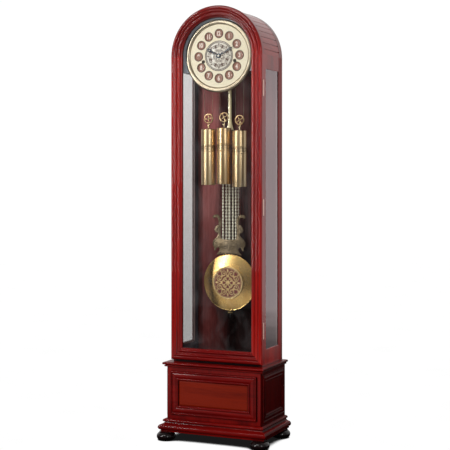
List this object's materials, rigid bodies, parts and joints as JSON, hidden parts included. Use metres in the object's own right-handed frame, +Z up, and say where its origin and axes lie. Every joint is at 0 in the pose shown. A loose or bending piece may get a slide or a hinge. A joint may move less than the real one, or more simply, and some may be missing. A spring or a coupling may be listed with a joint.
{
  "type": "longcase clock",
  "caption": "Arch-topped longcase clock with a full-height glazed door, round dial, cable-hung weights on pulleys and a grid pendulum.",
  "frame": {"origin": "centre of the outer box at floor level", "axes": "+Z up, -Y towards the viewer in front of the dial, +Y towards the wall, +X to the viewer's right"},
  "size_m": [0.528, 0.33, 1.9],
  "materials": {
    "case_wood": "high-gloss red mahogany lacquer",
    "field_wood": "gloss lacquer over a lighter figured veneer",
    "inner_wood": "satin, dark",
    "foot_black": "gloss black",
    "glass": "clear",
    "brass": "polished",
    "brass_pale": "polished, pale",
    "copper": "satin rose gilt",
    "ivory": "satin",
    "blue_grey": "satin laminate on a thin board",
    "blued_steel": "dark blued",
    "dark_metal": "dark",
    "cream": "satin"
  },
  "bodies": {
    "case": {"back_panels": "inner_wood", "base_front_board": "case_wood", "base_front_moulding": "case_wood", "base_front_panel": "field_wood", "base_side_mouldings": "case_wood", "base_sides": "case_wood", "bun_feet": "foot_black", "plinth": "case_wood", "waist_moulding": "case_wood", "trunk_floor": "inner_wood", "trunk_side_left": "case_wood", "trunk_side_right": "case_wood", "side_glass": "glass", "side_glass_beads": "inner_wood", "arch_ribs": "case_wood", "roof_staves": "case_wood", "hinge_case_leaves_and_pins": "brass_pale", "magnetic_catch": "dark_metal", "dial_surround": "blue_grey", "dial_plate": "ivory", "dial_bezel": "brass", "numeral_discs": "copper", "centre_filigree": "brass_pale", "seat_board": "inner_wood", "movement_front_plate": "brass_pale", "movement_back_plate": "brass_pale", "suspension_cock": "brass_pale", "chime_rods": "dark_metal"},
    "door": {"door_arch": "case_wood", "door_bottom_rail": "case_wood", "door_left_stile": "case_wood", "door_right_stile": "case_wood", "door_glass": "glass", "door_glass_stop": "inner_wood", "hinge_door_leaves": "brass_pale", "catch_strike": "dark_metal"},
    "minute_hand_body": {"minute_hand": "blued_steel"},
    "hour_hand_body": {"hour_hand": "blued_steel"},
    "minute_wheel_body": {"minute_wheel": "brass_pale"},
    "third_wheel_body": {"third_wheel": "brass_pale"},
    "escape_wheel_body": {"escape_wheel": "brass_pale"},
    "anchor": {"anchor_crutch": "dark_metal"},
    "pendulum": {"pendulum_stick": "cream", "pendulum_grid": "brass_pale", "lyre_plate": "brass_pale"},
    "pendulum_bob": {"bob": "brass", "bob_medallion": "brass"},
    "rating_nut_body": {"rating_nut": "brass"},
    "weight_left_body": {"weight_left": "brass", "cable_left": "dark_metal"},
    "pulley_left_body": {"pulley_left": "brass_pale"},
    "barrel_left_body": {"barrel_left": "brass_pale"},
    "weight_centre_body": {"weight_centre": "brass", "cable_centre": "dark_metal"},
    "pulley_centre_body": {"pulley_centre": "brass_pale"},
    "barrel_centre_body": {"barrel_centre": "brass_pale"},
    "weight_right_body": {"weight_right": "brass", "cable_right": "dark_metal"},
    "pulley_right_body": {"pulley_right": "brass_pale"},
    "barrel_right_body": {"barrel_right": "brass_pale"}
  },
  "joints": [
    {"name": "door_hinge", "type": "hinge", "parent": "case", "child": "door", "pos_m": [0.216, -0.0695, 1], "axis": [0, 0, 1], "range_deg": [0, 110]},
    {"name": "minute_hand_turn", "type": "hinge", "parent": "case", "child": "minute_hand_body", "pos_m": [0, -0.05, 1.6833], "axis": [0, 1, 0], "continuous": true},
    {"name": "hour_hand_turn", "type": "hinge", "parent": "case", "child": "hour_hand_body", "pos_m": [0, -0.05, 1.6833], "axis": [0, 1, 0], "continuous": true},
    {"name": "minute_wheel_turn", "type": "hinge", "parent": "case", "child": "minute_wheel_body", "pos_m": [0.0096, -0.035, 1.66667], "axis": [0, 1, 0], "continuous": true},
    {"name": "third_wheel_turn", "type": "hinge", "parent": "case", "child": "third_wheel_body", "pos_m": [0.01607, 0, 1.69773], "axis": [0, 1, 0], "continuous": true},
    {"name": "escape_wheel_turn", "type": "hinge", "parent": "case", "child": "escape_wheel_body", "pos_m": [0, 0, 1.7073], "axis": [0, 1, 0], "continuous": true},
    {"name": "pendulum_swing", "type": "hinge", "parent": "case", "child": "pendulum", "pos_m": [0, 0.068, 1.735], "axis": [0, 1, 0], "range_deg": [-2.5, 2.5]},
    {"name": "anchor_rock", "type": "hinge", "parent": "case", "child": "anchor", "pos_m": [0, 0, 1.735], "axis": [0, 1, 0], "range_deg": [-2.5, 2.5]},
    {"name": "bob_slide", "type": "slide", "parent": "pendulum", "child": "pendulum_bob", "axis": [0, 0, 1], "range_m": [-0.0028, 0.0028]},
    {"name": "rating_nut_turn", "type": "hinge", "parent": "pendulum_bob", "child": "rating_nut_body", "pos_m": [0, 0.07, 0.55], "axis": [0, 0, 1], "range_deg": [-1440, 1440]},
    {"name": "weight_left_drop", "type": "slide", "parent": "case", "child": "weight_left_body", "axis": [0, 0, -1], "range_m": [-0.12, 0.7], "deforming": ["cable_left"]},
    {"name": "pulley_left_turn", "type": "hinge", "parent": "weight_left_body", "child": "pulley_left_body", "pos_m": [-0.075, 0.002, 1.413], "axis": [0, -1, 0], "range_deg": [-355, 2060]},
    {"name": "barrel_left_turn", "type": "hinge", "parent": "case", "child": "barrel_left_body", "pos_m": [-0.075, 0.002, 1.66], "axis": [0, -1, 0], "range_deg": [-710, 4120]},
    {"name": "weight_centre_drop", "type": "slide", "parent": "case", "child": "weight_centre_body", "axis": [0, 0, -1], "range_m": [-0.12, 0.7], "deforming": ["cable_centre"]},
    {"name": "pulley_centre_turn", "type": "hinge", "parent": "weight_centre_body", "child": "pulley_centre_body", "pos_m": [0, 0.002, 1.417], "axis": [0, -1, 0], "range_deg": [-355, 2060]},
    {"name": "barrel_centre_turn", "type": "hinge", "parent": "case", "child": "barrel_centre_body", "pos_m": [0, 0.002, 1.642], "axis": [0, -1, 0], "range_deg": [-710, 4120]},
    {"name": "weight_right_drop", "type": "slide", "parent": "case", "child": "weight_right_body", "axis": [0, 0, -1], "range_m": [-0.12, 0.7], "deforming": ["cable_right"]},
    {"name": "pulley_right_turn", "type": "hinge", "parent": "weight_right_body", "child": "pulley_right_body", "pos_m": [0.075, 0.002, 1.404], "axis": [0, -1, 0], "range_deg": [-355, 2060]},
    {"name": "barrel_right_turn", "type": "hinge", "parent": "case", "child": "barrel_right_body", "pos_m": [0.075, 0.002, 1.66], "axis": [0, -1, 0], "range_deg": [-710, 4120]}
  ],
  "couplings": [
    {"joint": "hour_hand_turn", "follows": "minute_hand_turn", "ratio": 0.083333},
    {"joint": "minute_wheel_turn", "follows": "minute_hand_turn", "ratio": -0.33333},
    {"joint": "third_wheel_turn", "follows": "minute_hand_turn", "ratio": -8},
    {"joint": "escape_wheel_turn", "follows": "minute_hand_turn", "ratio": 60},
    {"joint": "anchor_rock", "follows": "pendulum_swing", "ratio": 1},
    {"joint": "rating_nut_turn", "follows": "bob_slide", "rad_per_m": 8976},
    {"joint": "pulley_left_turn", "follows": "weight_left_drop", "rad_per_m": 51.282},
    {"joint": "barrel_left_turn", "follows": "weight_left_drop", "rad_per_m": 102.56},
    {"joint": "pulley_centre_turn", "follows": "weight_centre_drop", "rad_per_m": 51.282},
    {"joint": "barrel_centre_turn", "follows": "weight_centre_drop", "rad_per_m": 102.56},
    {"joint": "pulley_right_turn", "follows": "weight_right_drop", "rad_per_m": 51.282},
    {"joint": "barrel_right_turn", "follows": "weight_right_drop", "rad_per_m": 102.56}
  ]
}
